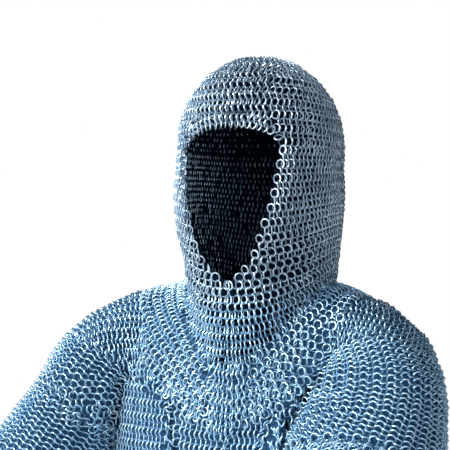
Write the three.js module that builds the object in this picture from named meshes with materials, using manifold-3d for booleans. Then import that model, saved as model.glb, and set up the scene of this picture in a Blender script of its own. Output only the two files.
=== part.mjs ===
// A mail hauberk with its hood: a T-cut shirt of linked rings with elbow sleeves and a thigh-length
// skirt, and a hood whose deep mantle lies over the shoulders. It is worn and hollow.
// Millimetres, +Z up, the front faces -Y and the wearer's left is +X. The origin is at the base of
// the neck, where the shirt hangs from the shoulders.
import * as THREE from 'three';
import { mergeVertices } from 'three/addons/utils/BufferGeometryUtils.js';
import Module from 'manifold-3d';

const wasm = await Module();
wasm.setup();

// Driving dimensions.
const WALL = 4;              // linked rings lie two wires and a lean deep
const SEAM = 0.3;            // clearance between neighbouring pieces
const LAY = 0.3;             // clearance of the mantle over the shirt
const BODY_FACETS = 36;      // facets round the body
const SLEEVE_FACETS = 20;    // facets round a sleeve
const HOOD_FACETS = 24;      // facets round the hood
const BEYOND = 30;           // how far a cutting solid runs past an open edge
const FAR = 900;             // past everything
const WAIST = -400;          // seam between the body and the skirt
const SIDE = 6;              // depth of the side and shoulder seams between front and back
const BROW = 139;            // seam between the crown and the hood's sides
const MANTLE_REACH = 133;    // half the mantle's width on top of the shoulders

// The shirt's body, a row for each level: half width, reach to front and back, and how square
// the section is (2 is an ellipse).
const BODY_ROWS = [
  { z: -760, half: 214, front: 146, back: 156, square: 2.1 },
  { z: -650, half: 202, front: 136, back: 146, square: 2.15 },
  { z: -540, half: 187, front: 126, back: 134, square: 2.2 },
  { z: -420, half: 169, front: 114, back: 117, square: 2.3 },
  { z: -290, half: 166, front: 109, back: 118, square: 2.4 },
  { z: -170, half: 170, front: 104, back: 126, square: 2.5 },
  { z: -115, half: 171, front: 96, back: 122, square: 2.4 },
  { z: -82, half: 169, front: 88, back: 113, square: 2.3 },
  { z: -56, half: 160, front: 77, back: 99, square: 2.2 },
  { z: -34, half: 140, front: 61, back: 79, square: 2.1 },
  { z: -18, half: 106, front: 43, back: 56, square: 2.0 },
  { z: -7, half: 62, front: 22, back: 30, square: 2.0 },
];

// The skirt's soft folds: where each lies round the hem (degrees from the wearer's left, front
// first), how wide it is, how far it stands out, and the level where it starts.
const SKIRT_FOLDS = [
  { turn: -20, wide: 15, deep: 12, from: -450 },
  { turn: -52, wide: 12, deep: -9, from: -520 },
  { turn: -78, wide: 17, deep: 11, from: -430 },
  { turn: -116, wide: 14, deep: -10, from: -480 },
  { turn: -146, wide: 16, deep: 13, from: -500 },
  { turn: 172, wide: 13, deep: -8, from: -440 },
  { turn: 138, wide: 16, deep: 12, from: -510 },
  { turn: 97, wide: 15, deep: -11, from: -450 },
  { turn: 62, wide: 17, deep: 13, from: -490 },
  { turn: 24, wide: 13, deep: -8, from: -430 },
];

// The hood, a row for each level. The dome above the brow is worked out from its own row.
const HOOD_DOME = { z: 146, rise: 99, shift: 1, half: 91, front: 93, back: 117, square: 2.1 };
const DOME_STEPS = [0.27, 0.51, 0.72, 0.88, 0.975];
const HOOD_ROWS = [
  { z: 120, shift: 1, half: 90, front: 101, back: 114, square: 2.1 },
  { z: 88, shift: 1, half: 92, front: 107, back: 108, square: 2.1 },
  { z: 50, shift: 1, half: 89, front: 105, back: 107, square: 2.1 },
  { z: 16, shift: 2, half: 83, front: 96, back: 110, square: 2.1 },
  { z: -14, shift: 3, half: 79, front: 93, back: 110, square: 2.1 },
  { z: -52, shift: 3, half: 76, front: 99, back: 105, square: 2.1 },
  { z: -88, shift: 3, half: 70, front: 97, back: 92, square: 2.1 },
  { z: -150, shift: 3, half: 58, front: 66, back: 66, square: 2.1 },
];

// The two sleeves, each a tube that leaves the neck along the shoulder, turns over its end and
// runs down the upper arm. The arms are folded, so both go forward, the left one more.
const SLEEVES = [
  { name: 'sleeve_right', side: -1, inside: [-58, 2, -66], bend: [-190, 0, -54],
    root: [-202, -38, -150], point: [-0.40, -0.36, -0.87] },
  { name: 'sleeve_left', side: 1, inside: [58, 2, -68], bend: [180, -2, -57],
    root: [169, -58, -152], point: [-0.06, -0.62, -0.78] },
];
// A row for each section: how far round the bend it is, then how far down the arm, the reach to
// the outside, the reach to the armpit side on the right sleeve and on the left, which hangs
// fuller over the chest, and half the depth.
const SLEEVE_ROWS = [
  { round: 0, along: 0, out: 50, right: 68, left: 68, deep: 52 },
  { round: 0.3, along: 0, out: 52, right: 64, left: 64, deep: 57 },
  { round: 0.52, along: 0, out: 52, right: 66, left: 66, deep: 64 },
  { round: 0.7, along: 0, out: 53, right: 68, left: 73, deep: 70 },
  { round: 0.86, along: 0, out: 55, right: 69, left: 88, deep: 71 },
  { round: 1, along: 0, out: 58, right: 68, left: 103, deep: 71 },
  { round: 1, along: 55, out: 66, right: 67, left: 103, deep: 71 },
  { round: 1, along: 115, out: 78, right: 68, left: 96, deep: 73 },
  { round: 1, along: 185, out: 88, right: 72, left: 86, deep: 77 },
];
const ARMHOLE = 0.72;        // the armhole seam, as a share of the bend

// Half of the face opening's outline, a row for each level, and the arch of the brow over it.
const FACE_SIDES = [
  { z: 108, half: 55 },
  { z: 80, half: 50 },
  { z: 50, half: 41 },
  { z: 28, half: 32 },
  { z: 12, half: 23 },
  { z: 2, half: 12 },
];
const FACE = { centre: -4, corner: 58, right: 146, left: 150, arch: 163, point: -3 };

// Half of the mantle's lower edge, front and back, a row for each corner.
const MANTLE_FRONT = [
  { half: 120, z: -50 },
  { half: 108, z: -84 },
  { half: 93, z: -112 },
  { half: 66, z: -138 },
  { half: 34, z: -160 },
];
const MANTLE_BACK = [
  { half: 124, z: -52 },
  { half: 112, z: -86 },
  { half: 86, z: -112 },
  { half: 48, z: -130 },
];
const MANTLE = { centre: -2, frontTip: -175, backTip: -138, shoulder: -20, over: 60 };

// ---- sections and lofts -------------------------------------------------------------------------

// A level section: an ellipse made squarer, with its own reach to the front and to the back.
function levelSection(row, facets) {
  const points = [];
  for (let i = 0; i < facets; i += 1) {
    const turn = (2 * Math.PI * i) / facets;
    const x = Math.sign(Math.cos(turn)) * Math.abs(Math.cos(turn)) ** (2 / row.square);
    const y = Math.sign(Math.sin(turn)) * Math.abs(Math.sin(turn)) ** (2 / row.square);
    points.push(new THREE.Vector3(
      (row.shift ?? 0) + x * row.half,
      y * (y < 0 ? row.front : row.back),
      row.z,
    ));
  }
  return points;
}

// How far a skirt fold stands out at a place round the hem, deeper towards the hem.
function foldDepth(z, degrees) {
  let depth = 0;
  for (const fold of SKIRT_FOLDS) {
    const away = ((degrees - fold.turn + 540) % 360) - 180;
    const down = Math.min(Math.max((fold.from - z) / (fold.from - BODY_ROWS[0].z), 0), 1);
    depth += fold.deep * down * Math.exp(-((away / fold.wide) ** 2));
  }
  return depth;
}

function bodySection(row) {
  return levelSection(row, BODY_FACETS).map((point) => {
    const degrees = THREE.MathUtils.radToDeg(Math.atan2(point.y, point.x));
    const out = new THREE.Vector3(point.x, point.y, 0).normalize();
    return point.addScaledVector(out, foldDepth(row.z, degrees));
  });
}

// The sleeve's centre line: over the end of the shoulder, then straight down the arm.
function sleeveLine(sleeve) {
  const [inside, bend, root] = [sleeve.inside, sleeve.bend, sleeve.root]
    .map((place) => new THREE.Vector3(...place));
  return new THREE.QuadraticBezierCurve3(inside, bend, root);
}

// A sleeve's section, square to its centre line.
function sleeveSection(sleeve, row) {
  const line = sleeveLine(sleeve);
  const arm = new THREE.Vector3(...sleeve.point).normalize();
  const along = line.getTangent(row.round).lerp(arm, row.round).normalize();
  const centre = line.getPoint(row.round).addScaledVector(arm, row.along);
  const forward = new THREE.Vector3(0, -1, 0).addScaledVector(along, along.y).normalize();
  const out = new THREE.Vector3().crossVectors(forward, along).multiplyScalar(sleeve.side);
  const points = [];
  for (let i = 0; i < SLEEVE_FACETS; i += 1) {
    const turn = (2 * Math.PI * i) / SLEEVE_FACETS;
    const armpit = sleeve.side < 0 ? row.right : row.left;
    const reach = Math.cos(turn) > 0 ? row.out : armpit;
    points.push(centre.clone()
      .addScaledVector(out, reach * Math.cos(turn))
      .addScaledVector(forward, row.deep * Math.sin(turn)));
  }
  return points;
}

// The same rows, moved along their own normals: outwards where the distance is positive.
function moved(rows, distance) {
  const count = rows[0].length;
  const way = windingOf(rows);
  return rows.map((row, r) => row.map((point, i) => {
    const round = row[(i + 1) % count].clone().sub(row[(i + count - 1) % count]);
    const up = rows[Math.min(r + 1, rows.length - 1)][i].clone().sub(rows[Math.max(r - 1, 0)][i]);
    const normal = round.cross(up).normalize().multiplyScalar(way);
    return point.clone().addScaledVector(normal, distance);
  }));
}

function centreOf(row) {
  return row.reduce((sum, point) => sum.add(point), new THREE.Vector3()).divideScalar(row.length);
}

// +1 where round x up already points out of the loft.
function windingOf(rows) {
  const middle = Math.floor(rows.length / 2);
  const row = rows[middle];
  const round = row[1].clone().sub(row[row.length - 1]);
  const up = rows[middle + 1][0].clone().sub(row[0]);
  const out = row[0].clone().sub(centreOf(row));
  return Math.sign(round.cross(up).dot(out));
}

// Adds a row past the first or the last one, so that a cut runs clean through an open edge.
function pastFirst(rows, distance) {
  const away = centreOf(rows[0]).sub(centreOf(rows[1])).normalize().multiplyScalar(distance);
  return [rows[0].map((point) => point.clone().add(away)), ...rows];
}

function pastLast(rows, distance) {
  return pastFirst([...rows].reverse(), distance).reverse();
}

function manifoldOf(geometry) {
  geometry.deleteAttribute('normal');
  geometry.deleteAttribute('uv');
  const merged = mergeVertices(geometry, 1e-4);
  return new wasm.Manifold(new wasm.Mesh({
    numProp: 3,
    vertProperties: new Float32Array(merged.attributes.position.array),
    triVerts: new Uint32Array(merged.index.array),
  }));
}

// A closed solid through the rows, each end closed by a fan round its centre.
function loft(rows) {
  const count = rows[0].length;
  const points = rows.flat();
  const first = points.push(centreOf(rows[0])) - 1;
  const last = points.push(centreOf(rows[rows.length - 1])) - 1;
  const faces = [];
  for (let r = 0; r + 1 < rows.length; r += 1) {
    for (let i = 0; i < count; i += 1) {
      const a = r * count + i;
      const b = r * count + ((i + 1) % count);
      faces.push([a, b, b + count], [a, b + count, a + count]);
    }
  }
  const top = (rows.length - 1) * count;
  for (let i = 0; i < count; i += 1) {
    const next = (i + 1) % count;
    faces.push([first, next, i], [last, top + i, top + next]);
  }
  if (windingOf(rows) < 0) faces.forEach((face) => face.reverse());
  const geometry = new THREE.BufferGeometry().setFromPoints(points);
  geometry.setIndex(faces.flat());
  return manifoldOf(geometry);
}

// A front view outline of x and z corners, made solid between two depths.
function prism(corners, fromY, toY) {
  const shape = new THREE.Shape(corners.map(([x, z]) => new THREE.Vector2(x, z)));
  const geometry = new THREE.ExtrudeGeometry(shape, { depth: toY - fromY, bevelEnabled: false });
  geometry.rotateX(Math.PI / 2);
  geometry.translate(0, toY, 0);
  return manifoldOf(geometry);
}

function block(low, high) {
  const size = high.map((value, axis) => value - low[axis]);
  const geometry = new THREE.BoxGeometry(...size);
  geometry.translate(...low.map((value, axis) => value + size[axis] / 2));
  return manifoldOf(geometry);
}

const above = (z) => block([-FAR, -FAR, z], [FAR, FAR, FAR]);
const below = (z) => block([-FAR, -FAR, -FAR], [FAR, FAR, z]);
const leftOf = (x) => block([x, -FAR, -FAR], [FAR, FAR, FAR]);
const rightOf = (x) => block([-FAR, -FAR, -FAR], [x, FAR, FAR]);
const frontOf = (y) => block([-FAR, -FAR, -FAR], [FAR, y, FAR]);
const backOf = (y) => block([-FAR, y, -FAR], [FAR, FAR, FAR]);

// ---- the shirt ----------------------------------------------------------------------------------

const bodyRows = BODY_ROWS.map(bodySection);
const sleeveRows = SLEEVES.map((sleeve) => SLEEVE_ROWS.map((row) => sleeveSection(sleeve, row)));

// The shirt's form, moved out by a distance, with its open ends run on where it is to cut.
function shirtForm(distance, runOn) {
  const body = moved(bodyRows, distance);
  const arms = sleeveRows.map((rows) => moved(rows, distance));
  let form = loft(runOn ? pastFirst(body, BEYOND) : body);
  for (const rows of arms) form = form.add(loft(runOn ? pastLast(rows, BEYOND) : rows));
  return form;
}

const hoodRows = [
  ...HOOD_ROWS.toReversed(),
  HOOD_DOME,
  ...DOME_STEPS.map((step) => {
    const narrow = Math.sqrt(1 - step * step);
    return {
      z: HOOD_DOME.z + HOOD_DOME.rise * step,
      shift: HOOD_DOME.shift,
      half: HOOD_DOME.half * narrow,
      front: HOOD_DOME.front * narrow,
      back: HOOD_DOME.back * narrow,
      square: HOOD_DOME.square,
    };
  }),
].map((row) => levelSection(row, HOOD_FACETS));

function hoodForm(distance) {
  return loft(moved(hoodRows, distance));
}

const hoodHollow = hoodForm(-WALL);
const shirt = shirtForm(0, false).subtract(shirtForm(-WALL, true)).subtract(hoodHollow);

// The sleeve beyond its armhole seam: what lies within the sleeve's own form, past a plane square
// to its centre line.
function pastArmhole(sleeve, rows, distance, around) {
  const line = sleeveLine(sleeve);
  const upright = new THREE.Vector3(0, 0, 1);
  const along = line.getTangent(ARMHOLE);
  const geometry = new THREE.BoxGeometry(FAR, FAR, FAR);
  geometry.translate(0, 0, FAR / 2 + distance);
  geometry.applyQuaternion(new THREE.Quaternion().setFromUnitVectors(upright, along));
  geometry.translate(...line.getPoint(ARMHOLE).toArray());
  return loft(pastLast(moved(rows, around), BEYOND)).intersect(manifoldOf(geometry));
}

const parts = [];
let torso = shirt;
SLEEVES.forEach((sleeve, k) => {
  parts.push({ name: sleeve.name, solid: shirt.intersect(pastArmhole(sleeve, sleeveRows[k], 0, 1)) });
  torso = torso.subtract(pastArmhole(sleeve, sleeveRows[k], -SEAM, 1 + SEAM));
});
const halves = [
  { name: 'front', solid: torso.intersect(frontOf(SIDE - SEAM / 2)) },
  { name: 'back', solid: torso.intersect(backOf(SIDE + SEAM / 2)) },
];
for (const { name, solid } of halves) {
  parts.push({ name: `body_${name}`, solid: solid.intersect(above(WAIST + SEAM / 2)) });
  parts.push({ name: `skirt_${name}`, solid: solid.intersect(below(WAIST - SEAM / 2)) });
}

// ---- the hood and mantle ------------------------------------------------------------------------

// Both sides of a table's outline about a centre line, with what joins them below and above.
function bothSides(rows, centre, below, above) {
  return [
    ...rows.map(({ half, z }) => [centre + half, z]), ...below,
    ...rows.toReversed().map(({ half, z }) => [centre - half, z]), ...above,
  ];
}

// The brow's arch runs over the opening from the right corner to the left one.
function faceOutline() {
  const { centre, corner, right, left, arch, point } = FACE;
  return bothSides(FACE_SIDES, centre, [[centre, point]], [
    [centre - corner, right - 8], [centre - corner * 0.85, right + 5], [centre - corner * 0.45, arch - 3],
    [centre, arch],
    [centre + corner * 0.45, arch - 1], [centre + corner * 0.85, left + 5], [centre + corner, left - 8],
  ]);
}

function mantleOutline(rows, tip) {
  const { centre, shoulder, over } = MANTLE;
  const top = [
    { half: MANTLE_REACH, z: over },
    { half: MANTLE_REACH, z: shoulder },
  ];
  return bothSides([...top, ...rows], centre, [[centre, tip]], []);
}

const coif = shirtForm(LAY + WALL, false).add(hoodForm(0))
  .subtract(shirtForm(LAY, true)).subtract(hoodHollow)
  .subtract(prism(faceOutline(), -FAR, 0));
const hood = coif.intersect(hoodForm(0));
parts.push({ name: 'hood_crown', solid: hood.intersect(above(BROW + SEAM)) });
parts.push({ name: 'hood_sides', solid: hood.intersect(below(BROW)) });

const mantle = coif.subtract(hoodForm(SEAM)).intersect(
  prism(mantleOutline(MANTLE_FRONT, MANTLE.frontTip), -FAR, SIDE)
    .add(prism(mantleOutline(MANTLE_BACK, MANTLE.backTip), SIDE, FAR)),
);
parts.push({ name: 'mantle_right', solid: mantle.intersect(rightOf(MANTLE.centre - SEAM / 2)) });
parts.push({ name: 'mantle_left', solid: mantle.intersect(leftOf(MANTLE.centre + SEAM / 2)) });

// Steel in every piece: the hood's rings are greyer than the shirt's.
const HOOD_STEEL = 0x7c8b97;
const SHIRT_STEEL = 0x86a2ba;

const group = new THREE.Group();
for (const { name, solid } of parts) {
  const mesh = solid.getMesh();
  const geometry = new THREE.BufferGeometry();
  geometry.setAttribute('position', new THREE.BufferAttribute(new Float32Array(mesh.vertProperties), 3));
  geometry.setIndex(new THREE.BufferAttribute(new Uint32Array(mesh.triVerts), 1));
  const steel = name.startsWith('hood') ? HOOD_STEEL : SHIRT_STEEL;
  const material = new THREE.MeshStandardMaterial({ color: steel, roughness: 0.4, metalness: 0.9 });
  const node = new THREE.Mesh(geometry, material);
  node.name = name;
  group.add(node);
}

export default group;
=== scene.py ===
import math

import bpy
import numpy as np
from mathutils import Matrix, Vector
from mathutils.bvhtree import BVHTree
from mathutils.kdtree import KDTree


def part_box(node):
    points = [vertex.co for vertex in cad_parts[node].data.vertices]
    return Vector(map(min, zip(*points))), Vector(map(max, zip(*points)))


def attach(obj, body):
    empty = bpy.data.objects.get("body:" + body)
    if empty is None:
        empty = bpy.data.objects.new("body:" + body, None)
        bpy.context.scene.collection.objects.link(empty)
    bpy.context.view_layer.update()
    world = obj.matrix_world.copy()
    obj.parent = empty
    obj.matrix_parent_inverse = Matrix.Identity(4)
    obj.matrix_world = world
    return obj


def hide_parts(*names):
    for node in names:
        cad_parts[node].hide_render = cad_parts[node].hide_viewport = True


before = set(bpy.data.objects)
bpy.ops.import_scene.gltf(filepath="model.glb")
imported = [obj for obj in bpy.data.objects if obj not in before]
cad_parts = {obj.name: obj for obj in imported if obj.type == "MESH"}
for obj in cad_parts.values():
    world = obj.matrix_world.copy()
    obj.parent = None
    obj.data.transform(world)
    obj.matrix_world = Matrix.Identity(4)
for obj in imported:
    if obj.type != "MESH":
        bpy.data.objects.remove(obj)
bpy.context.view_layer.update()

# ---- Camera ---------------------------------------------------------------------------------------
# A portrait view, level, from a little to the wearer's left of the front.
VIEW_TURN = math.radians(22)
VIEW_FAR = 1.5
VIEW_HEIGHT = 0.056
VIEW_ASIDE = -0.0384
VIEW_LENS = 106.2
look = Vector((-math.sin(VIEW_TURN), math.cos(VIEW_TURN), 0))
aside = Vector((math.cos(VIEW_TURN), math.sin(VIEW_TURN), 0))
camera = bpy.data.objects.new("camera", bpy.data.cameras.new("camera"))
bpy.context.scene.collection.objects.link(camera)
camera.location = aside * VIEW_ASIDE - look * VIEW_FAR + Vector((0, 0, VIEW_HEIGHT))
camera.rotation_mode = "QUATERNION"
camera.rotation_quaternion = look.to_track_quat("-Z", "Y")
camera.data.lens = VIEW_LENS
camera.data.sensor_width = 36
camera.data.clip_end = 20
bpy.context.scene.camera = camera

# ---- The shirt's form -----------------------------------------------------------------------------
# The mail is laid on the worn shape of the panels. Rays from inside meet the inner face of a panel's
# wall, and half the wall further out is the middle of the mail.
MM = 0.001
WALL = 4.0
FORM_STEP = 2.5
JUMP = 22.0
SEAM_DODGE = (0.9, 0.6, 0.8)


def form_of(names):
    """The solids of these panels as one form to cast rays at, and the panel that owns each face."""
    points, faces, owners = [], [], []
    for name in names:
        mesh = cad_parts[name].data
        base = len(points)
        points += [v.co / MM for v in mesh.vertices]
        for face in mesh.polygons:
            faces.append([base + i for i in face.vertices])
            owners.append(name)
    return BVHTree.FromPolygons(points, faces), owners


def meet(form, start, way):
    """The middle of the wall that a ray from inside meets, and the panel it belongs to."""
    tree, owners = form
    # a ray can slip out through the seam between two panels, so two more start a little aside
    for aside_of in ((0, 0, 0), SEAM_DODGE, [-d for d in SEAM_DODGE]):
        hit, normal, index, _ = tree.ray_cast(Vector(start) + Vector(aside_of), Vector(way))
        if hit is not None:
            break
    if hit is None:
        return None, None
    inward = normal if normal.dot(Vector(way)) < 0 else -normal
    return np.array(hit - inward * (WALL / 2)), owners[index]


def sweep(form, start, up, across, first, last, floor=-1e9, only=None):
    """The wall met by rays that turn from one way towards another: points and their panels."""
    points, owners = [], []
    for turn in np.arange(first, last, FORM_STEP):
        a = math.radians(turn)
        point, owner = meet(form, start, np.array(up) * math.cos(a) + np.array(across) * math.sin(a))
        if point is None or (only and owner not in only):
            if points:
                break
            continue
        if points and np.linalg.norm(point - points[-1]) > JUMP:
            break
        points.append(point)
        owners.append(owner)
        if point[2] < floor:
            break
    return np.array(points), owners


def spaced(points, owners, places):
    """Points at these distances along a swept line, not a number past its ends, and their panels."""
    steps = np.linalg.norm(np.diff(points, axis=0), axis=1)
    along = np.concatenate([[0], np.cumsum(steps)])
    places = np.asarray(places, float)
    out = np.stack([np.interp(places, along, points[:, k]) for k in range(3)], axis=1)
    out[(places < -0.01) | (places > along[-1] + 0.01)] = np.nan
    near = np.clip(np.searchsorted(along, places), 0, len(owners) - 1)
    return out, [owners[i] for i in near]


def smoothed(grid, rounds, wrap=False):
    """The grid without the facets of the form: passes in and out keep its size."""
    grid = grid.copy()
    for n in range(rounds * 2):
        share = 0.5 if n % 2 == 0 else -0.52
        total = np.zeros_like(grid)
        count = np.zeros(grid.shape[:2])
        for axis in (0, 1):
            for step in (1, -1):
                other = np.roll(grid, step, axis)
                if not (wrap and axis == 0):
                    edge = 0 if step == 1 else -1
                    if axis == 0:
                        other[edge] = np.nan
                    else:
                        other[:, edge] = np.nan
                known = ~np.isnan(other[..., 0])
                total[known] += other[known]
                count += known
        inner = (count == 4) & ~np.isnan(grid[..., 0])
        grid[inner] += share * (total[inner] / 4 - grid[inner])
    return grid


def slopes(grid, wrap=False):
    """Unit directions along the rows (axis 0) and down the columns (axis 1), and the wall's normal."""
    ways = []
    for axis in (0, 1):
        ahead = np.roll(grid, -1, axis) - grid
        back = grid - np.roll(grid, 1, axis)
        if not (wrap and axis == 0):
            if axis == 0:
                ahead[-1], back[0] = np.nan, np.nan
            else:
                ahead[:, -1], back[:, 0] = np.nan, np.nan
        both = np.stack([ahead, back])
        known = ~np.isnan(both[..., :1])
        mean = np.where(known, both, 0).sum(0) / np.maximum(known.sum(0), 1)
        ways.append(mean)
    pitch = np.linalg.norm(ways[0], axis=-1)
    along = ways[0] / np.maximum(pitch, 1e-6)[..., None]
    down = ways[1] / np.maximum(np.linalg.norm(ways[1], axis=-1), 1e-6)[..., None]
    normal = np.cross(along, down)
    normal /= np.maximum(np.linalg.norm(normal, axis=-1), 1e-6)[..., None]
    return along, down, normal, pitch


def press_folds(grid, folds, wrap=False, flip=1):
    """Soft troughs and ridges laid in the mail: each from one place to another."""
    normal = slopes(grid, wrap)[2] * flip
    move = np.zeros(grid.shape[:2])
    for start, end, width, depth in folds:
        start, end = np.array(start, float), np.array(end, float)
        line = end - start
        along = ((grid - start) @ line) / (line @ line)
        held = np.clip(along, 0, 1)
        away = np.linalg.norm(grid - (start + held[..., None] * line), axis=-1)
        uneven = 0.8 + 0.2 * np.sin(along * 9 + start[0])
        taper = np.clip(np.minimum(held, 1 - held) * 5 + 0.25, 0, 1)
        move += np.where(np.isnan(away), 0, depth * uneven * taper * np.exp(-((away / width) ** 2)))
    return grid + normal * move[..., None]


shirt_names = ["body_front", "body_back", "skirt_front", "skirt_back", "sleeve_right", "sleeve_left"]
shirt_form = form_of(shirt_names)
mantle_form = form_of(["mantle_right", "mantle_left"])

# ---- Rings laid on a grid -------------------------------------------------------------------------
# Rings are laid to pass through two of the row above and two of the row below, though where the
# mail is stretched or bent many pass through fewer. The rings of a row all lean the same way, and
# the next row's the other way, more where the mail is pushed together. No two sit quite alike.
RING = 4.95
WIRE = 0.85
FACETED_WIRE = 1.25
RINGS_OUT = -0.4
LEAN_PITCH = [4.0, 5.0, 6.5, 8.0, 10.3]
LEAN_ANGLE = [68.0, 62.0, 52.0, 40.0, 24.0]
CLOSEST = 4.1
ROWS_CLOSEST = 4.8
LEAN_STRAY = 5
TURN_STRAY = 0.05
LIFT_STRAY = 0.25
ROW_STRAY = 0.18
OFFSET = np.random.default_rng(7)
# the dark sheets painted with the shade between the rings, panel by panel
laid = {name: [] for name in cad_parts}
shade_sheets = {name: [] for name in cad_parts}


def lay_rings(grid, owners, wrap=False, flip=1, keep=None, parity=0, blue=lambda p: 1.0):
    """A ring on each place of the grid, half a place on in every second row."""
    along, down, normal, pitch = slopes(grid, wrap)
    normal = normal * flip
    columns, rows = grid.shape[:2]
    placed = []
    cells = {}
    for i in range(rows):
        since = 1e9
        half = 0.5 if (i + parity) % 2 else 0.0
        for j in range(columns):
            k = (j + 1) % columns if half else j
            if half and not wrap and j == columns - 1:
                continue
            place = (grid[j, i] + grid[k, i]) / 2
            if np.isnan(place[0]):
                continue
            row_way = along[j, i] + along[k, i]
            row_way /= max(np.linalg.norm(row_way), 1e-6)
            up = normal[j, i] + normal[k, i]
            up /= max(np.linalg.norm(up), 1e-6)
            gap = (pitch[j, i] + pitch[k, i]) / 2
            since += gap
            if since < CLOSEST:
                continue
            since = 0
            if keep is not None and not keep(place, up):
                continue
            # where the cloth doubles up at an armpit, rows don't run through each other
            cell = tuple(int(c) for c in place // ROWS_CLOSEST)
            around = [(cell[0] + x, cell[1] + y, cell[2] + z)
                      for x in (-1, 0, 1) for y in (-1, 0, 1) for z in (-1, 0, 1)]
            others = [p for c in around for row, p in cells.get(c, ()) if row != i]
            if any(np.linalg.norm(p - place) < ROWS_CLOSEST for p in others):
                continue
            cells.setdefault(cell, []).append((i, place))
            lean = np.interp(gap, LEAN_PITCH, LEAN_ANGLE) * (1 if i % 2 else -1)
            lean = math.radians(lean + OFFSET.normal(0, LEAN_STRAY))
            axis = up * math.cos(lean) + row_way * math.sin(lean)
            side = down[j, i] - axis * (down[j, i] @ axis)
            side += row_way * OFFSET.normal(0, TURN_STRAY)
            side -= axis * (side @ axis)
            at = place + up * (RINGS_OUT + OFFSET.normal(0, LIFT_STRAY))
            at = at + row_way * OFFSET.normal(0, ROW_STRAY)
            ring = (at, axis, side / max(np.linalg.norm(side), 1e-6), OFFSET.random(), blue(place))
            laid[owners[j][i]].append(ring)
            placed.append(place)
    return placed


def lay_shade_sheet(grid, owners, wrap=False, flip=1, stride=2, inside=2.4):
    """The dark sheet under the rings, painted with the shade seen between them: a face for each few places
    of the grid.
    """
    normal = slopes(grid, wrap)[2] * flip
    points = grid - normal * inside
    columns, rows = grid.shape[:2]
    js = list(range(0, columns, stride))
    if not wrap and js[-1] != columns - 1:
        js.append(columns - 1)
    rs = list(range(0, rows, stride))
    if rs[-1] != rows - 1:
        rs.append(rows - 1)
    pairs = list(zip(js, js[1:])) + ([(js[-1], js[0])] if wrap else [])
    for j, k in pairs:
        for r, s in zip(rs, rs[1:]):
            corners = [points[j, r], points[k, r], points[k, s], points[j, s]]
            if np.isnan(np.array(corners)).any():
                continue
            shade_sheets[owners[j][r]].append(corners[::-1] if flip > 0 else corners)


# ---- Sleeves and shoulders ------------------------------------------------------------------------
# Each half of the top of the shirt is one cloth from the middle of the chest, over the shoulder and
# down the arm. Its rows run along the shoulder and the arm, so they turn round the armpit.
SHOULDER_ROWS = 28
ROW_PITCH = 7.4
CHEST_FLOOR = -206.0
CHANGE_AT = 104.0
CHEST_PITCH = 6.1
BEND_PITCH = 7.7
ARM_PITCH = 6.3
CUFF_INSET = 3.0
SPINE_STEP = 2.0
SPINE_PARTS = 90
SPARE_ROWS = 7
TOP_FURTHEST = 90
TOP_GUESS = 45
CHEST_TURN = 170
UNDER_ARM = 180.1
CLOSING_STEP = 1.2
SPINE = {
    -1: {"inside": (-58, 2, -66), "bend": (-190, 0, -54), "root": (-202, -38, -150),
         "arm": (-0.40, -0.36, -0.87)},
    1: {"inside": (58, 2, -68), "bend": (180, -2, -57), "root": (169, -58, -152),
        "arm": (-0.06, -0.62, -0.78)},
}
ARM_LENGTH = 185.0
MANTLE_LAP = 9.0
MANTLE_SEEN = (6, 26)
FILL_GAP = 5.6
PAST_FOLD = 4
RIGHT_FOLDS = [
    ((-133, -92, -70), (-150, -100, -215), 6.5, -14.0),
    ((-146, -86, -92), (-164, -94, -190), 6.0, 4.5),
    ((-156, -84, -92), (-174, -100, -185), 5.5, -7.0),
]
LEFT_FOLDS = [
    ((120, -98, -92), (134, -120, -200), 8.0, -5.0),
]


def spine_places(side):
    """Places close together along the shoulder and the arm: where, which way along, which part."""
    inside, bend, root = (np.array(SPINE[side][k], float) for k in ("inside", "bend", "root"))
    arm = np.array(SPINE[side]["arm"], float)
    arm /= np.linalg.norm(arm)
    places = []
    for x in np.arange(0, abs(SPINE[side]["inside"][0]), SPINE_STEP):
        places.append((np.array([side * x, inside[1], inside[2]]), np.array([side, 0, 0.0]), "chest"))
    for t in np.linspace(0, 1, SPINE_PARTS):
        at = (1 - t) ** 2 * inside + 2 * t * (1 - t) * bend + t * t * root
        way = 2 * (1 - t) * (bend - inside) + 2 * t * (root - bend)
        way /= np.linalg.norm(way)
        way = way * (1 - t) + arm * t
        places.append((at, way / np.linalg.norm(way), "chest" if abs(at[0]) < CHANGE_AT else "bend"))
    for d in np.arange(SPINE_STEP, ARM_LENGTH - CUFF_INSET, SPINE_STEP):
        places.append((root + arm * d, arm, "arm"))
    return places


def section_ways(way, side):
    """The way to the outside of the sleeve and the way to its front, square to its line."""
    forward = np.array([0, -1, 0]) + way * way[1]
    forward /= np.linalg.norm(forward)
    return np.cross(forward, way) * side, forward


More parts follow.
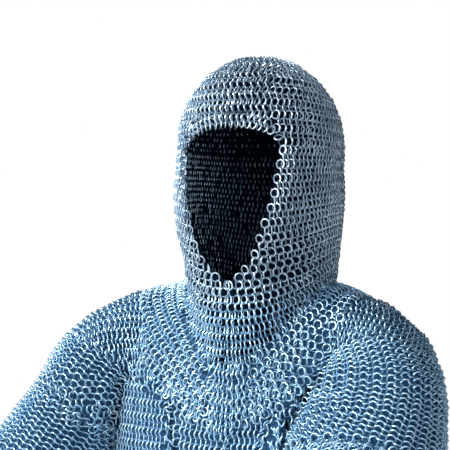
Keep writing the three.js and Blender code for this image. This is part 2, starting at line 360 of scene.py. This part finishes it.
def shoulder_grid(side, past_fold):
    """The grid of one half: columns from the chest to the cuff, rows from back to front.

    A section's rows stop past_fold rows behind the place where the cloth folds over.
    """
    stations, ridge, so_far = [], None, 0.0
    want = 0.0
    for at, way, part in spine_places(side):
        out, forward = section_ways(way, side)
        top, _ = meet(shirt_form, at, out)
        if top is None or np.linalg.norm(top - at) > TOP_FURTHEST:
            top = at + out * TOP_GUESS
        if ridge is not None:
            so_far += np.linalg.norm(top - ridge) if part != "chest" else abs(at[0] - last[0])
        ridge, last = top, at
        if so_far >= want:
            stations.append((at, way, part, out, forward))
            want += {"chest": CHEST_PITCH, "bend": BEND_PITCH, "arm": ARM_PITCH}[part]
    middle = SHOULDER_ROWS + SPARE_ROWS
    count = 2 * middle
    grid = np.full((len(stations), count + 1, 3), np.nan)
    owners = [["body_front"] * (count + 1) for _ in stations]
    change = next(k for k, s in enumerate(stations) if s[2] != "chest")
    chest_length = {}
    for forth in (1, -1):
        at, way, part, out, forward = stations[change]
        line, own = sweep(shirt_form, at, out, forward * forth, 0, CHEST_TURN, CHEST_FLOOR)
        chest_length[forth] = np.linalg.norm(np.diff(line, axis=0), axis=1).sum()
    for k, (at, way, part, out, forward) in enumerate(stations):
        for forth in (1, -1):
            rows_down = round(chest_length[forth] / ROW_PITCH)
            floor = CHEST_FLOOR if part == "chest" else -1e9
            line, own = sweep(shirt_form, at, out, forward * forth, 0, UNDER_ARM, floor)
            if len(line) < 3:
                continue
            length = np.linalg.norm(np.diff(line, axis=0), axis=1).sum()
            if part == "chest":
                # counted up from the level where the lower body begins
                step = chest_length[forth] / rows_down
                reach = np.array([length - (rows_down - v) * step for v in range(middle + 1)])
            else:
                closed = length / SHOULDER_ROWS
                step = chest_length[forth] / rows_down
                if part == "arm" and abs(closed - step) < CLOSING_STEP:
                    step = closed
                reach = np.arange(middle + 1) * step
                if part == "arm" and step == closed:
                    reach[SHOULDER_ROWS] = length
            placed, names = spaced(line, own, reach)
            behind = 0
            for v in range(middle + 1):
                if np.isnan(placed[v, 0]) or (part == "chest" and v > rows_down):
                    continue
                row = middle + forth * v
                # a later section's point behind an earlier section is where the cloth folds over
                if part != "chest" and any(
                    (placed[v] - stations[e][0]) @ stations[e][1] < 1.0 for e in range(change, k)
                ):
                    behind += 1
                if behind > past_fold:
                    break
                grid[k, row] = placed[v]
                owners[k][row] = names[v]
    return grid, owners


def under_mantle(place, up):
    """True where the mantle hides the shirt well inside its own edge."""
    up = Vector(up)
    level = up.cross(Vector((0, 1, 0)) if abs(up.y) < 0.7 else Vector((1, 0, 0))).normalized()
    slope = up.cross(level)
    for way in (Vector(), level, -level, slope, -slope):
        start = Vector(place) - up * MANTLE_SEEN[0] + way * MANTLE_LAP
        if mantle_form[0].ray_cast(start, up, MANTLE_SEEN[1])[0] is None:
            return False
    return True


def tree_of(places):
    near = KDTree(len(places))
    for n, place in enumerate(places):
        near.insert(Vector(place), n)
    near.balance()
    return near


shirt_places = []
for side, folds in ((-1, RIGHT_FOLDS), (1, LEFT_FOLDS)):
    grid, owners = shoulder_grid(side, 0)
    grid = press_folds(smoothed(grid, 6), folds, flip=-side)
    laid_here = lay_rings(grid, owners, flip=-side, keep=lambda p, u: not under_mantle(p, u))
    # links close the gap that is left where the cloth turns under the arm
    near = tree_of(laid_here)
    grid, owners = shoulder_grid(side, PAST_FOLD)
    grid = press_folds(smoothed(grid, 6), folds, flip=-side)
    laid_here += lay_rings(grid, owners, flip=-side, parity=1,
                           keep=lambda p, u: near.find(Vector(p))[2] > FILL_GAP and not under_mantle(p, u))
    lay_shade_sheet(grid, owners, flip=-side)
    shirt_places += laid_here

# ---- Body and skirt -------------------------------------------------------------------------------
# Below the armpits the shirt is a tube of level rows. Its top rows fill in under the arms.
TUBE_COLUMNS = 153
TUBE_TOP = -118.0
TUBE_HEM = -757.0
AXIS_Y = 8.0
EVEN_LEVEL = -420.0
NEAR_RING = 4.4
ARM_ROWS = 34
BODY_FOLDS = [
    ((-60, -112, -300), (40, -116, -350), 14.0, -5.0), ((70, -112, -250), (-20, -118, -330), 12.0, 3.5),
    ((-150, -70, -290), (-120, -95, -430), 13.0, -6.0), ((150, -70, -330), (135, -95, -470), 15.0, -6.0),
    ((-135, 90, -250), (-60, 118, -370), 15.0, -6.0), ((120, 95, -230), (40, 120, -360), 14.0, -6.0),
    ((-30, 122, -300), (60, 120, -410), 16.0, 4.5), ((90, 112, -330), (130, 98, -460), 13.0, 4.0),
    ((-90, 112, -180), (-40, 124, -240), 12.0, -4.0),
]

fine = [meet(shirt_form, (0, AXIS_Y, EVEN_LEVEL), (math.sin(a), -math.cos(a), 0))[0]
        for a in np.linspace(0, 2 * math.pi, 721)]
fine_turn = np.linspace(0, 2 * math.pi, 721)
fine_along = np.concatenate([[0], np.cumsum(np.linalg.norm(np.diff(np.array(fine), axis=0), axis=1))])
tube_turns = np.interp(np.arange(TUBE_COLUMNS) / TUBE_COLUMNS * fine_along[-1], fine_along, fine_turn)
tube_rows = round((TUBE_TOP - TUBE_HEM) / ROW_PITCH)
levels = TUBE_TOP + (TUBE_HEM - TUBE_TOP) * np.arange(tube_rows + 1) / tube_rows
grid = np.full((TUBE_COLUMNS, tube_rows + 1, 3), np.nan)
owners = [["body_front"] * (tube_rows + 1) for _ in range(TUBE_COLUMNS)]
for j, turn in enumerate(tube_turns):
    for i, level in enumerate(levels):
        point, owner = meet(shirt_form, (0, AXIS_Y, level), (math.sin(turn), -math.cos(turn), 0))
        if point is not None and not owner.startswith("sleeve"):
            grid[j, i] = point
            owners[j][i] = owner
grid = smoothed(grid, 6, wrap=True)
grid = press_folds(grid, BODY_FOLDS, wrap=True, flip=-1)
near = tree_of(shirt_places)
lay_rings(grid, owners, wrap=True, flip=-1, keep=lambda p, u: near.find(Vector(p))[2] > NEAR_RING)
# the painted shade sheet is finer round the arms, so that it reaches the crease at each sleeve
lay_shade_sheet(grid[:, :ARM_ROWS + 1], owners, wrap=True, flip=-1, stride=1)
lay_shade_sheet(grid[:, ARM_ROWS:], [o[ARM_ROWS:] for o in owners], wrap=True, flip=-1)

# ---- Hood sides -----------------------------------------------------------------------------------
# The sides run from one edge of the face opening round the back to the other, in rows that sink
# towards the front, and meet at a seam under the chin.
hood_form = form_of(["hood_crown", "hood_sides"])
HOOD_SIDE_ROWS = 31
HOOD_COLUMNS = 88
OPEN_FRONT = 0.45
OPEN_AT = 0.54
CLOSE_FRONT = 0.42
HOOD_CENTRE = (-1.0, 8.0)
BROW = 139.0
FOOT_FRONT, FOOT_SIDE, FOOT_BACK = -108.0, -56.0, -80.0
FACE_INSET = 2.0
SEAM_INSET = 0.9
# the hood's painted shade sheet lies this far inside the middle of its wall
HOOD_SHADE_SHEET_INSIDE = 4.4


def hood_blue(place):
    """The hood is greyer than the shirt, less so low down and on its right side."""
    low = np.clip((10 - place[2]) / 55, 0, 1)
    aside_of = np.clip((-place[0] - 20) / 90, 0, 1) * 0.6
    return max(low, aside_of)


def hood_level(turn, share):
    """The level of a row of the hood's side on this turn: the rows sink towards the front."""
    mean = (FOOT_FRONT + FOOT_BACK) / 2
    foot = (mean + FOOT_SIDE) / 2 + (FOOT_FRONT - FOOT_BACK) / 2 * math.cos(turn)
    foot += (mean - FOOT_SIDE) / 2 * math.cos(2 * turn)
    return BROW + (foot - BROW) * share


def on_hood(turn, share):
    """The middle of the hood's wall on this turn, at this share of the way down."""
    centre = (*HOOD_CENTRE, hood_level(turn, share))
    return meet(hood_form, centre, (math.sin(turn), -math.cos(turn), 0))[0]


def face_edge(share, way):
    """The turn from the front, in degrees, at which this row of the hood's side begins."""
    for turn in np.arange(0, 60, 1.0):
        if on_hood(math.radians(turn) * way, share) is not None:
            return turn
    return 0.0


def hood_side_grid(shares):
    """The hood's side at these shares of the way down from the brow to its foot."""
    grid = np.full((HOOD_COLUMNS, len(shares), 3), np.nan)
    for i, share in enumerate(shares):
        edges = [face_edge(share, way) for way in (-1, 1)]
        inset = FACE_INSET if edges[0] > 1 else SEAM_INSET
        first, last = edges[1] + inset, 360 - edges[0] - inset
        for j in range(HOOD_COLUMNS):
            # the mail is pulled open under the chin, and the rest is pushed together
            even = j / (HOOD_COLUMNS - 1)
            pull = OPEN_FRONT * math.exp(-(((share - OPEN_AT) / 0.13) ** 2))
            pull -= CLOSE_FRONT * np.clip((share - OPEN_AT) / 0.2 - 0.5, 0, 1)
            even += pull * math.sin(2 * math.pi * even) / (2 * math.pi)
            point = on_hood(math.radians(first + (last - first) * even), share)
            if point is not None:
                grid[j, i] = point
    return grid


hood_owners = [["hood_sides"] * (HOOD_SIDE_ROWS + 1) for _ in range(HOOD_COLUMNS)]
grid = smoothed(hood_side_grid([(i + 0.5) / HOOD_SIDE_ROWS for i in range(HOOD_SIDE_ROWS)]), 5)
lay_rings(grid, hood_owners, flip=-1, blue=hood_blue)
grid = smoothed(hood_side_grid([i / HOOD_SIDE_ROWS for i in range(HOOD_SIDE_ROWS + 1)]), 5)
lay_shade_sheet(grid, hood_owners, flip=-1, stride=1, inside=HOOD_SHADE_SHEET_INSIDE)

# ---- Hood crown -----------------------------------------------------------------------------------
# The crown closes in rounds from the brow to the top, with fewer rings in a round as it narrows.
CROWN_COUNTS = [88] * 8 + [66] * 5 + [44] * 4 + [22] * 2 + [11] + [5]
CROWN_CENTRE = (1.0, 10.0, 139.0)
CROWN_SCAN = np.arange(-4, 60, 0.5)
CROWN_TOP = 0.4
ROUNDS_START = 2.2
FACE_HALF = 40.0
LEVEL_LIFT = 1.0
BROW_BAND = (1.8, 5.0)
BAND_CLEAR = 7.2
BAND_COUNT = 23


def crown_met(turn, lift):
    """The middle of the wall met from the crown's centre, so many degrees up, and its panel."""
    e = math.radians(lift)
    way = (math.sin(turn) * math.cos(e), -math.cos(turn) * math.cos(e), math.sin(e))
    return meet(hood_form, CROWN_CENTRE, way)


def crown_base(turn):
    """The lowest way up, in degrees, at which the crown is met on this turn."""
    for lift in CROWN_SCAN:
        point, owner = crown_met(turn, lift)
        if owner == "hood_crown" and point[2] > BROW + 1:
            return lift
    return 0.0


def over_face(turn):
    """True where the crown ends at the arch over the face instead of at the level seam."""
    return crown_base(turn) > LEVEL_LIFT + 2


def crown_rounds(count, first, rows):
    """A grid of level rounds with the same number of rings, from one row of the crown."""
    grid = np.full((count, rows, 3), np.nan)
    for j in range(count):
        turn = 2 * math.pi * j / count
        least = crown_base(turn) + BAND_CLEAR if over_face(turn) else -90
        for r in range(rows):
            base = LEVEL_LIFT + ROUNDS_START
            lift = base + (90 - base) * (first + r) / (len(CROWN_COUNTS) - CROWN_TOP)
            point = crown_met(turn, lift)[0] if lift > least else None
            if point is not None:
                grid[j, r] = point
    return grid


first = 0
for count in sorted(set(CROWN_COUNTS), reverse=True):
    rows = CROWN_COUNTS.count(count)
    grid = crown_rounds(count, first, max(rows, 2))
    owners = [["hood_crown"] * max(rows, 2) for _ in range(count)]
    grid = smoothed(grid, 3, wrap=True) if rows > 2 else grid
    lay_rings(grid[:, :rows] if rows > 1 else grid, owners, wrap=True, flip=1,
              parity=first, blue=hood_blue)
    first += rows
# a close band of two rows edges the arch over the face
grid = np.full((BAND_COUNT, len(BROW_BAND), 3), np.nan)
for j, turn in enumerate(np.radians(np.linspace(-FACE_HALF, FACE_HALF, BAND_COUNT))):
    for r, lift in enumerate(BROW_BAND):
        point = crown_met(turn, crown_base(turn) + lift)[0] if over_face(turn) else None
        if point is not None:
            grid[j, r] = point
lay_rings(grid, [["hood_crown"] * len(BROW_BAND)] * BAND_COUNT, flip=1, blue=hood_blue)
# its painted shade sheet starts at the arch, and a little under the level seam elsewhere
widest = CROWN_COUNTS[0]
grid = np.full((widest, len(CROWN_COUNTS), 3), np.nan)
for j in range(widest):
    turn = 2 * math.pi * j / widest
    base = crown_base(turn) if over_face(turn) else LEVEL_LIFT - 2.0
    for r in range(len(CROWN_COUNTS)):
        point = crown_met(turn, base + (90 - base) * r / (len(CROWN_COUNTS) - CROWN_TOP))[0]
        if point is not None:
            grid[j, r] = point
owners = [["hood_crown"] * len(CROWN_COUNTS)] * widest
lay_shade_sheet(grid, owners, wrap=True, flip=1, stride=1, inside=HOOD_SHADE_SHEET_INSIDE)

# ---- Mantle ---------------------------------------------------------------------------------------
# The mantle spreads from the crease at the neck over the shoulders, in rounds that come to a point
# at the front and at the back. Its two halves are joined down the middle.
MANTLE_ROWS = 24
MANTLE_COLUMNS = 112
MANTLE_PITCH = 7.4
MANTLE_CENTRE = (-2.0, 8.0, -120.0)
MANTLE_INSET = 3.0
MANTLE_TWIST = 0.27
EDGE_ROW = 2.0
MANTLE_LINES = 240
# the turn from the front in degrees, how wide the stretch is, and how much closer its columns lie
MANTLE_OPEN = [
    (48.0, 30.0, -0.08),
    (0.0, 7.0, 0.3),
    (315.0, 35.0, 0.25),
    (180.0, 10.0, 0.2),
]


def mantle_turns():
    """The turns of the mantle's columns: far apart on the open left front, close at the seams."""
    turns = np.linspace(0, 360, 721)
    dense = np.ones_like(turns)
    for at, wide, more in MANTLE_OPEN:
        away = (turns - at + 180) % 360 - 180
        dense += more * np.exp(-((away / wide) ** 2))
    so_far = np.concatenate([[0], np.cumsum((dense[1:] + dense[:-1]) / 2)])
    shares = (np.arange(MANTLE_COLUMNS) + 0.5) / MANTLE_COLUMNS
    return np.radians(np.interp(shares * so_far[-1], so_far, turns))


def mantle_grid(pitch):
    """Rows counted out from the crease at the neck, as far as the mantle's edge."""
    lines = np.full((MANTLE_LINES, MANTLE_ROWS, 3), np.nan)
    lines_owners = []
    for n in range(MANTLE_LINES):
        turn = 2 * math.pi * (n + 0.5) / MANTLE_LINES
        flat_way = np.array([math.sin(turn), -math.cos(turn), 0])
        line, own = sweep(mantle_form, MANTLE_CENTRE, (0, 0, 1), flat_way, 2, 150)
        length = np.linalg.norm(np.diff(line, axis=0), axis=1).sum()
        step = pitch or (length - 1) / (MANTLE_ROWS - 1)
        reach = (MANTLE_INSET if pitch else 0.5) + step * np.arange(MANTLE_ROWS)
        if pitch:
            # the last row follows the edge
            past = reach > length - EDGE_ROW
            last = int(np.argmax(past))
            reach[past] = 1e6
            if length - EDGE_ROW - reach[last - 1] > ROWS_CLOSEST + 0.2:
                reach[last] = length - EDGE_ROW
        lines[n], names = spaced(line, own, reach)
        lines_owners.append(names)
    # the columns lean with the crease, so that they cross the rows squarely
    turns = mantle_turns()
    grid = np.full((MANTLE_COLUMNS, MANTLE_ROWS, 3), np.nan)
    owners = [["mantle_left"] * MANTLE_ROWS for _ in range(MANTLE_COLUMNS)]
    for j, turn in enumerate(turns):
        apart = (turns[(j + 1) % MANTLE_COLUMNS] - turn) % (2 * math.pi)
        for i in range(MANTLE_ROWS):
            leaned = turn + (MANTLE_TWIST * apart * i * math.sin(2 * turn) if pitch else 0)
            place = leaned / (2 * math.pi) * MANTLE_LINES - 0.5
            first = math.floor(place)
            near, far = lines[first % MANTLE_LINES, i], lines[(first + 1) % MANTLE_LINES, i]
            grid[j, i] = near + (far - near) * (place - first)
            owners[j][i] = lines_owners[first % MANTLE_LINES][i]
    return smoothed(grid, 3, wrap=True), owners


grid, owners = mantle_grid(MANTLE_PITCH)
lay_rings(grid, owners, wrap=True, flip=-1)
grid, owners = mantle_grid(None)
lay_shade_sheet(grid, owners, wrap=True, flip=-1, stride=2)

# ---- Materials ------------------------------------------------------------------------------------
# Steel wire, blue in the shirt and greyer in the hood, a little uneven from ring to ring, and dark
# sheets painted with the shade seen between the rings.
SHIRT_DARK, SHIRT_LIGHT = (0.37, 0.60, 0.80), (0.62, 0.85, 1.0)
HOOD_DARK, HOOD_LIGHT = (0.40, 0.50, 0.59), (0.70, 0.82, 0.92)


def steel_material(name):
    """Bright wire whose tone and blueness each ring carries in its own attributes."""
    material = bpy.data.materials.new(name)
    material.use_nodes = True
    nodes, links = material.node_tree.nodes, material.node_tree.links
    steel = nodes["Principled BSDF"]
    steel.inputs["Metallic"].default_value = 0.92

    def attribute(of):
        node = nodes.new("ShaderNodeAttribute")
        node.attribute_name = of
        return node.outputs["Fac"]

    tones = []
    for dark, light in ((HOOD_DARK, HOOD_LIGHT), (SHIRT_DARK, SHIRT_LIGHT)):
        ramp = nodes.new("ShaderNodeMix")
        ramp.data_type = "RGBA"
        ramp.inputs["A"].default_value = (*dark, 1)
        ramp.inputs["B"].default_value = (*light, 1)
        links.new(attribute("shade"), ramp.inputs["Factor"])
        tones.append(ramp.outputs["Result"])
    both = nodes.new("ShaderNodeMix")
    both.data_type = "RGBA"
    links.new(attribute("blue"), both.inputs["Factor"])
    links.new(tones[0], both.inputs["A"])
    links.new(tones[1], both.inputs["B"])
    links.new(both.outputs["Result"], steel.inputs["Base Color"])
    place = nodes.new("ShaderNodeTexCoord")
    wear = nodes.new("ShaderNodeTexNoise")
    wear.inputs["Scale"].default_value = 900
    links.new(place.outputs["Object"], wear.inputs["Vector"])
    rough = nodes.new("ShaderNodeMapRange")
    rough.inputs["To Min"].default_value = 0.22
    rough.inputs["To Max"].default_value = 0.42
    links.new(wear.outputs["Fac"], rough.inputs["Value"])
    links.new(rough.outputs["Result"], steel.inputs["Roughness"])
    return material


def shade_sheet_material(name, colour):
    """A dull dark sheet painted with the shade that stands for the depth between the rings."""
    material = bpy.data.materials.new(name)
    material.use_nodes = True
    dull = material.node_tree.nodes["Principled BSDF"]
    dull.inputs["Base Color"].default_value = (*colour, 1)
    dull.inputs["Roughness"].default_value = 1.0
    dull.inputs["Specular IOR Level"].default_value = 0.0
    return material


steel_wire = steel_material("steel_wire")
# painted shade: navy in the gaps of the shirt's mail, near black in the hood's
shirt_shade_sheet = shade_sheet_material("shirt_shadow", (0.030, 0.078, 0.145))
hood_shade_sheet = shade_sheet_material("hood_shadow", (0.004, 0.010, 0.020))

# ---- Ring tree ------------------------------------------------------------------------------------
# One ring swept round a circle, set on each point of a panel's mail and turned by its own axes.
def socket_of(tree, name):
    return next(item.identifier for item in tree.interface.items_tree if item.name == name)


def ring_tree():
    tree = bpy.data.node_groups.new("rings_on_points", "GeometryNodeTree")
    face = tree.interface
    face.new_socket("Geometry", in_out="INPUT", socket_type="NodeSocketGeometry")
    for name, value in (("Ring radius", RING * MM), ("Wire radius", WIRE * FACETED_WIRE * MM)):
        socket = face.new_socket(name, in_out="INPUT", socket_type="NodeSocketFloat")
        socket.default_value = value
    for name, value in (("Turns", 8), ("Sides", 3)):
        socket = face.new_socket(name, in_out="INPUT", socket_type="NodeSocketInt")
        socket.default_value = value
    face.new_socket("Material", in_out="INPUT", socket_type="NodeSocketMaterial")
    face.new_socket("Geometry", in_out="OUTPUT", socket_type="NodeSocketGeometry")
    nodes, links = tree.nodes, tree.links
    given = nodes.new("NodeGroupInput")
    round_line = nodes.new("GeometryNodeCurvePrimitiveCircle")
    wire_line = nodes.new("GeometryNodeCurvePrimitiveCircle")
    swept = nodes.new("GeometryNodeCurveToMesh")
    smooth = nodes.new("GeometryNodeSetShadeSmooth")
    turned = nodes.new("FunctionNodeAxesToRotation")
    turned.primary_axis = "Z"
    turned.secondary_axis = "X"
    for socket, attribute in (("Primary Axis", "ring_axis"), ("Secondary Axis", "ring_side")):
        named = nodes.new("GeometryNodeInputNamedAttribute")
        named.data_type = "FLOAT_VECTOR"
        named.inputs["Name"].default_value = attribute
        links.new(named.outputs["Attribute"], turned.inputs[socket])
    placed = nodes.new("GeometryNodeInstanceOnPoints")
    real = nodes.new("GeometryNodeRealizeInstances")
    finish = nodes.new("GeometryNodeSetMaterial")
    result = nodes.new("NodeGroupOutput")
    links.new(given.outputs["Ring radius"], round_line.inputs["Radius"])
    links.new(given.outputs["Turns"], round_line.inputs["Resolution"])
    links.new(given.outputs["Wire radius"], wire_line.inputs["Radius"])
    links.new(given.outputs["Sides"], wire_line.inputs["Resolution"])
    links.new(round_line.outputs["Curve"], swept.inputs["Curve"])
    links.new(wire_line.outputs["Curve"], swept.inputs["Profile Curve"])
    links.new(swept.outputs["Mesh"], smooth.inputs["Geometry"])
    links.new(given.outputs["Geometry"], placed.inputs["Points"])
    links.new(smooth.outputs["Geometry"], placed.inputs["Instance"])
    links.new(turned.outputs["Rotation"], placed.inputs["Rotation"])
    links.new(placed.outputs["Instances"], real.inputs["Geometry"])
    links.new(real.outputs["Geometry"], finish.inputs["Geometry"])
    links.new(given.outputs["Material"], finish.inputs["Material"])
    links.new(finish.outputs["Geometry"], result.inputs["Geometry"])
    return tree


rings_on_points = ring_tree()


def ring_map(mesh, turns, sides):
    """A map with a small square for each ring, so that no two rings share a place in it."""
    corner = np.zeros(len(mesh.loops), np.int64)
    mesh.loops.foreach_get("vertex_index", corner)
    per_ring = turns * sides
    ring = corner // per_ring
    turn = (corner % per_ring) // sides
    side = corner % sides
    turn, side = turn.reshape(-1, 4), side.reshape(-1, 4)
    turn = np.where((turn == 0) & (turn.max(1) == turns - 1)[:, None] & (turns > 2), turns, turn)
    side = np.where((side == 0) & (side.max(1) == sides - 1)[:, None], sides, side)
    across = math.ceil(math.sqrt(ring.max() + 1))
    u = (ring % across + 0.05 + 0.9 * turn.ravel() / turns) / across
    v = (ring // across + 0.05 + 0.9 * side.ravel() / sides) / across
    layer = mesh.uv_layers.new(name="OFBake")
    layer.data.foreach_set("uv", np.stack([u, v], 1).astype(np.float32).ravel())


def plain_mesh(owner, name):
    """The finished piece as a plain mesh, and its working object gone."""
    graph = bpy.context.evaluated_depsgraph_get()
    mesh = bpy.data.meshes.new_from_object(owner.evaluated_get(graph))
    work = owner.data
    bpy.data.objects.remove(owner)
    bpy.data.meshes.remove(work)
    piece = bpy.data.objects.new(name, mesh)
    bpy.context.scene.collection.objects.link(piece)
    mesh.name = name
    return piece


def mail_piece(name, rings, steel, turns, sides):
    """The rings of one panel."""
    at, axis, side, shade, blue = (np.array([r[k] for r in rings]) for k in range(5))
    mesh = bpy.data.meshes.new(name + "_places")
    mesh.from_pydata((at * MM).tolist(), [], [])
    for attribute, values in (("ring_axis", axis), ("ring_side", side)):
        layer = mesh.attributes.new(attribute, "FLOAT_VECTOR", "POINT")
        layer.data.foreach_set("vector", values.astype(np.float32).ravel())
    for attribute, values in (("shade", shade), ("blue", blue)):
        layer = mesh.attributes.new(attribute, "FLOAT", "POINT")
        layer.data.foreach_set("value", values.astype(np.float32))
    work = bpy.data.objects.new(name + "_work", mesh)
    bpy.context.scene.collection.objects.link(work)
    modifier = work.modifiers.new("rings", "NODES")
    modifier.node_group = rings_on_points
    for socket, value in (("Turns", turns), ("Sides", sides), ("Material", steel)):
        modifier[socket_of(rings_on_points, socket)] = value
    piece = plain_mesh(work, name)
    if not piece.data.materials:
        piece.data.materials.append(steel)
    ring_map(piece.data, turns, sides)
    return piece


# the thickness of the sheets painted with the shade between the rings, in mm
SHADE_SHEET_THICKNESS = 0.6


def shade_sheet_piece(name, faces, shade_paint):
    """The sheet of one panel under its rings, painted with the shade between them: thin and closed."""
    points, index, polygons = [], {}, []
    for corners in faces:
        polygon = []
        for corner in corners:
            key = tuple(np.round(corner, 3))
            if key not in index:
                index[key] = len(points)
                points.append([c * MM for c in corner])
            if index[key] not in polygon:
                polygon.append(index[key])
        if len(polygon) > 2:
            polygons.append(polygon)
    mesh = bpy.data.meshes.new(name + "_sheet")
    mesh.from_pydata(points, [], polygons)
    mesh.validate()
    mesh.materials.append(shade_paint)
    work = bpy.data.objects.new(name + "_work", mesh)
    bpy.context.scene.collection.objects.link(work)
    thick = work.modifiers.new("thick", "SOLIDIFY")
    thick.thickness = SHADE_SHEET_THICKNESS * MM
    thick.offset = -1
    piece = plain_mesh(work, name)
    for polygon in piece.data.polygons:
        polygon.use_smooth = True
    return piece


# ---- Panels ---------------------------------------------------------------------------------------
# Each panel of the garment: a dark sheet on its solid's form, painted with the shade seen between the
# rings, and its rings. A ring has 8 sides, or 6 on the back and the skirt, and its wire 3, drawn thicker
# so that it looks as wide as round wire.
FRONT_TURNS, BACK_TURNS = 8, 6
WIRE_SIDES = 3
# a panel's flat width and length, and the share of them it covers in square metres if not all
FLAT = {
    "hood_crown": ((0.60, 0.15), 0.06), "hood_sides": ((0.50, 0.21), None),
    "mantle_right": ((0.30, 0.09), None), "mantle_left": ((0.30, 0.09), None),
    "body_front": ((0.50, 0.38), None), "body_back": ((0.50, 0.40), None),
    "skirt_front": ((0.54, 0.36), None), "skirt_back": ((0.54, 0.36), None),
    "sleeve_right": ((0.46, 0.21), None), "sleeve_left": ((0.50, 0.18), None),
}
for name, (flat, area) in FLAT.items():
    hood = name.startswith("hood")
    turns = BACK_TURNS if name in ("body_back", "skirt_front", "skirt_back") else FRONT_TURNS
    # the panel's dark sheet, painted with the shade between its rings
    panel_shade_sheet = shade_sheet_piece(name + "_shade_sheet", shade_sheets[name], hood_shade_sheet if hood else shirt_shade_sheet)
    mail = mail_piece(name + "_rings", laid[name], steel_wire, turns, WIRE_SIDES)
    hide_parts(name)
    for piece in (panel_shade_sheet, mail):
        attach(piece, "root")

# ---- Light and floor ------------------------------------------------------------------------------
# Soft studio light from the upper left of the view, a weak fill, and a pale floor under the hem.
FLOOR_DROP = 0.04
FLOOR_HALF = 2.5
BRIGHT_SIDE = (-0.72, -0.55, 0.42)


def soft_light(name, place, aim, size, power, colour):
    """A square lamp that faces its aim."""
    light = bpy.data.lights.new(name, "AREA")
    light.energy = power
    light.size = size
    light.color = colour
    owner = bpy.data.objects.new(name, light)
    bpy.context.scene.collection.objects.link(owner)
    owner.location = place
    owner.rotation_mode = "QUATERNION"
    owner.rotation_quaternion = (Vector(aim) - Vector(place)).to_track_quat("-Z", "Y")
    return owner


soft_light("key", place=(-2.2, -1.7, 1.3), aim=(0, 0, 0), size=0.9, power=128, colour=(1.0, 0.99, 0.97))
soft_light("fill", place=(1.6, -2.2, 0.2), aim=(0, 0, -0.1), size=1.0, power=11, colour=(0.85, 0.93, 1.0))

floor_mesh = bpy.data.meshes.new("floor")
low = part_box("skirt_front")[0].z - FLOOR_DROP
corners = [(x * FLOOR_HALF, y * FLOOR_HALF, low) for x, y in ((-1, -1), (1, -1), (1, 1), (-1, 1))]
floor_mesh.from_pydata(corners, [], [(0, 1, 2, 3)])
floor = bpy.data.objects.new("floor", floor_mesh)
bpy.context.scene.collection.objects.link(floor)
paint = bpy.data.materials.new("floor_paint")
paint.use_nodes = True
paint.node_tree.nodes["Principled BSDF"].inputs["Base Color"].default_value = (0.86, 0.86, 0.85, 1)
paint.node_tree.nodes["Principled BSDF"].inputs["Roughness"].default_value = 0.7
floor_mesh.materials.append(paint)

world = bpy.data.worlds.new("studio")
bpy.context.scene.world = world
world.use_nodes = True
nodes, links = world.node_tree.nodes, world.node_tree.links
nodes.clear()
out = nodes.new("ShaderNodeOutputWorld")
mix = nodes.new("ShaderNodeMixShader")
seen = nodes.new("ShaderNodeLightPath")
plain = nodes.new("ShaderNodeBackground")
plain.inputs["Color"].default_value = (1, 1, 1, 1)
plain.inputs["Strength"].default_value = 1.0
soft = nodes.new("ShaderNodeBackground")
way = nodes.new("ShaderNodeTexCoord")
facing = nodes.new("ShaderNodeVectorMath")
facing.operation = "DOT_PRODUCT"
facing.inputs[1].default_value = Vector(BRIGHT_SIDE).normalized()
glow = nodes.new("ShaderNodeMapRange")
glow.inputs["From Min"].default_value = -0.1
glow.inputs["To Min"].default_value = 0.03
glow.inputs["To Max"].default_value = 1.42
links.new(way.outputs["Generated"], facing.inputs[0])
links.new(facing.outputs["Value"], glow.inputs["Value"])
links.new(glow.outputs["Result"], soft.inputs["Strength"])
soft.inputs["Color"].default_value = (0.72, 0.86, 1.0, 1)
links.new(seen.outputs["Is Camera Ray"], mix.inputs["Fac"])
links.new(soft.outputs["Background"], mix.inputs[1])
links.new(plain.outputs["Background"], mix.inputs[2])
links.new(mix.outputs["Shader"], out.inputs["Surface"])
bpy.context.scene.view_settings.view_transform = "Standard"
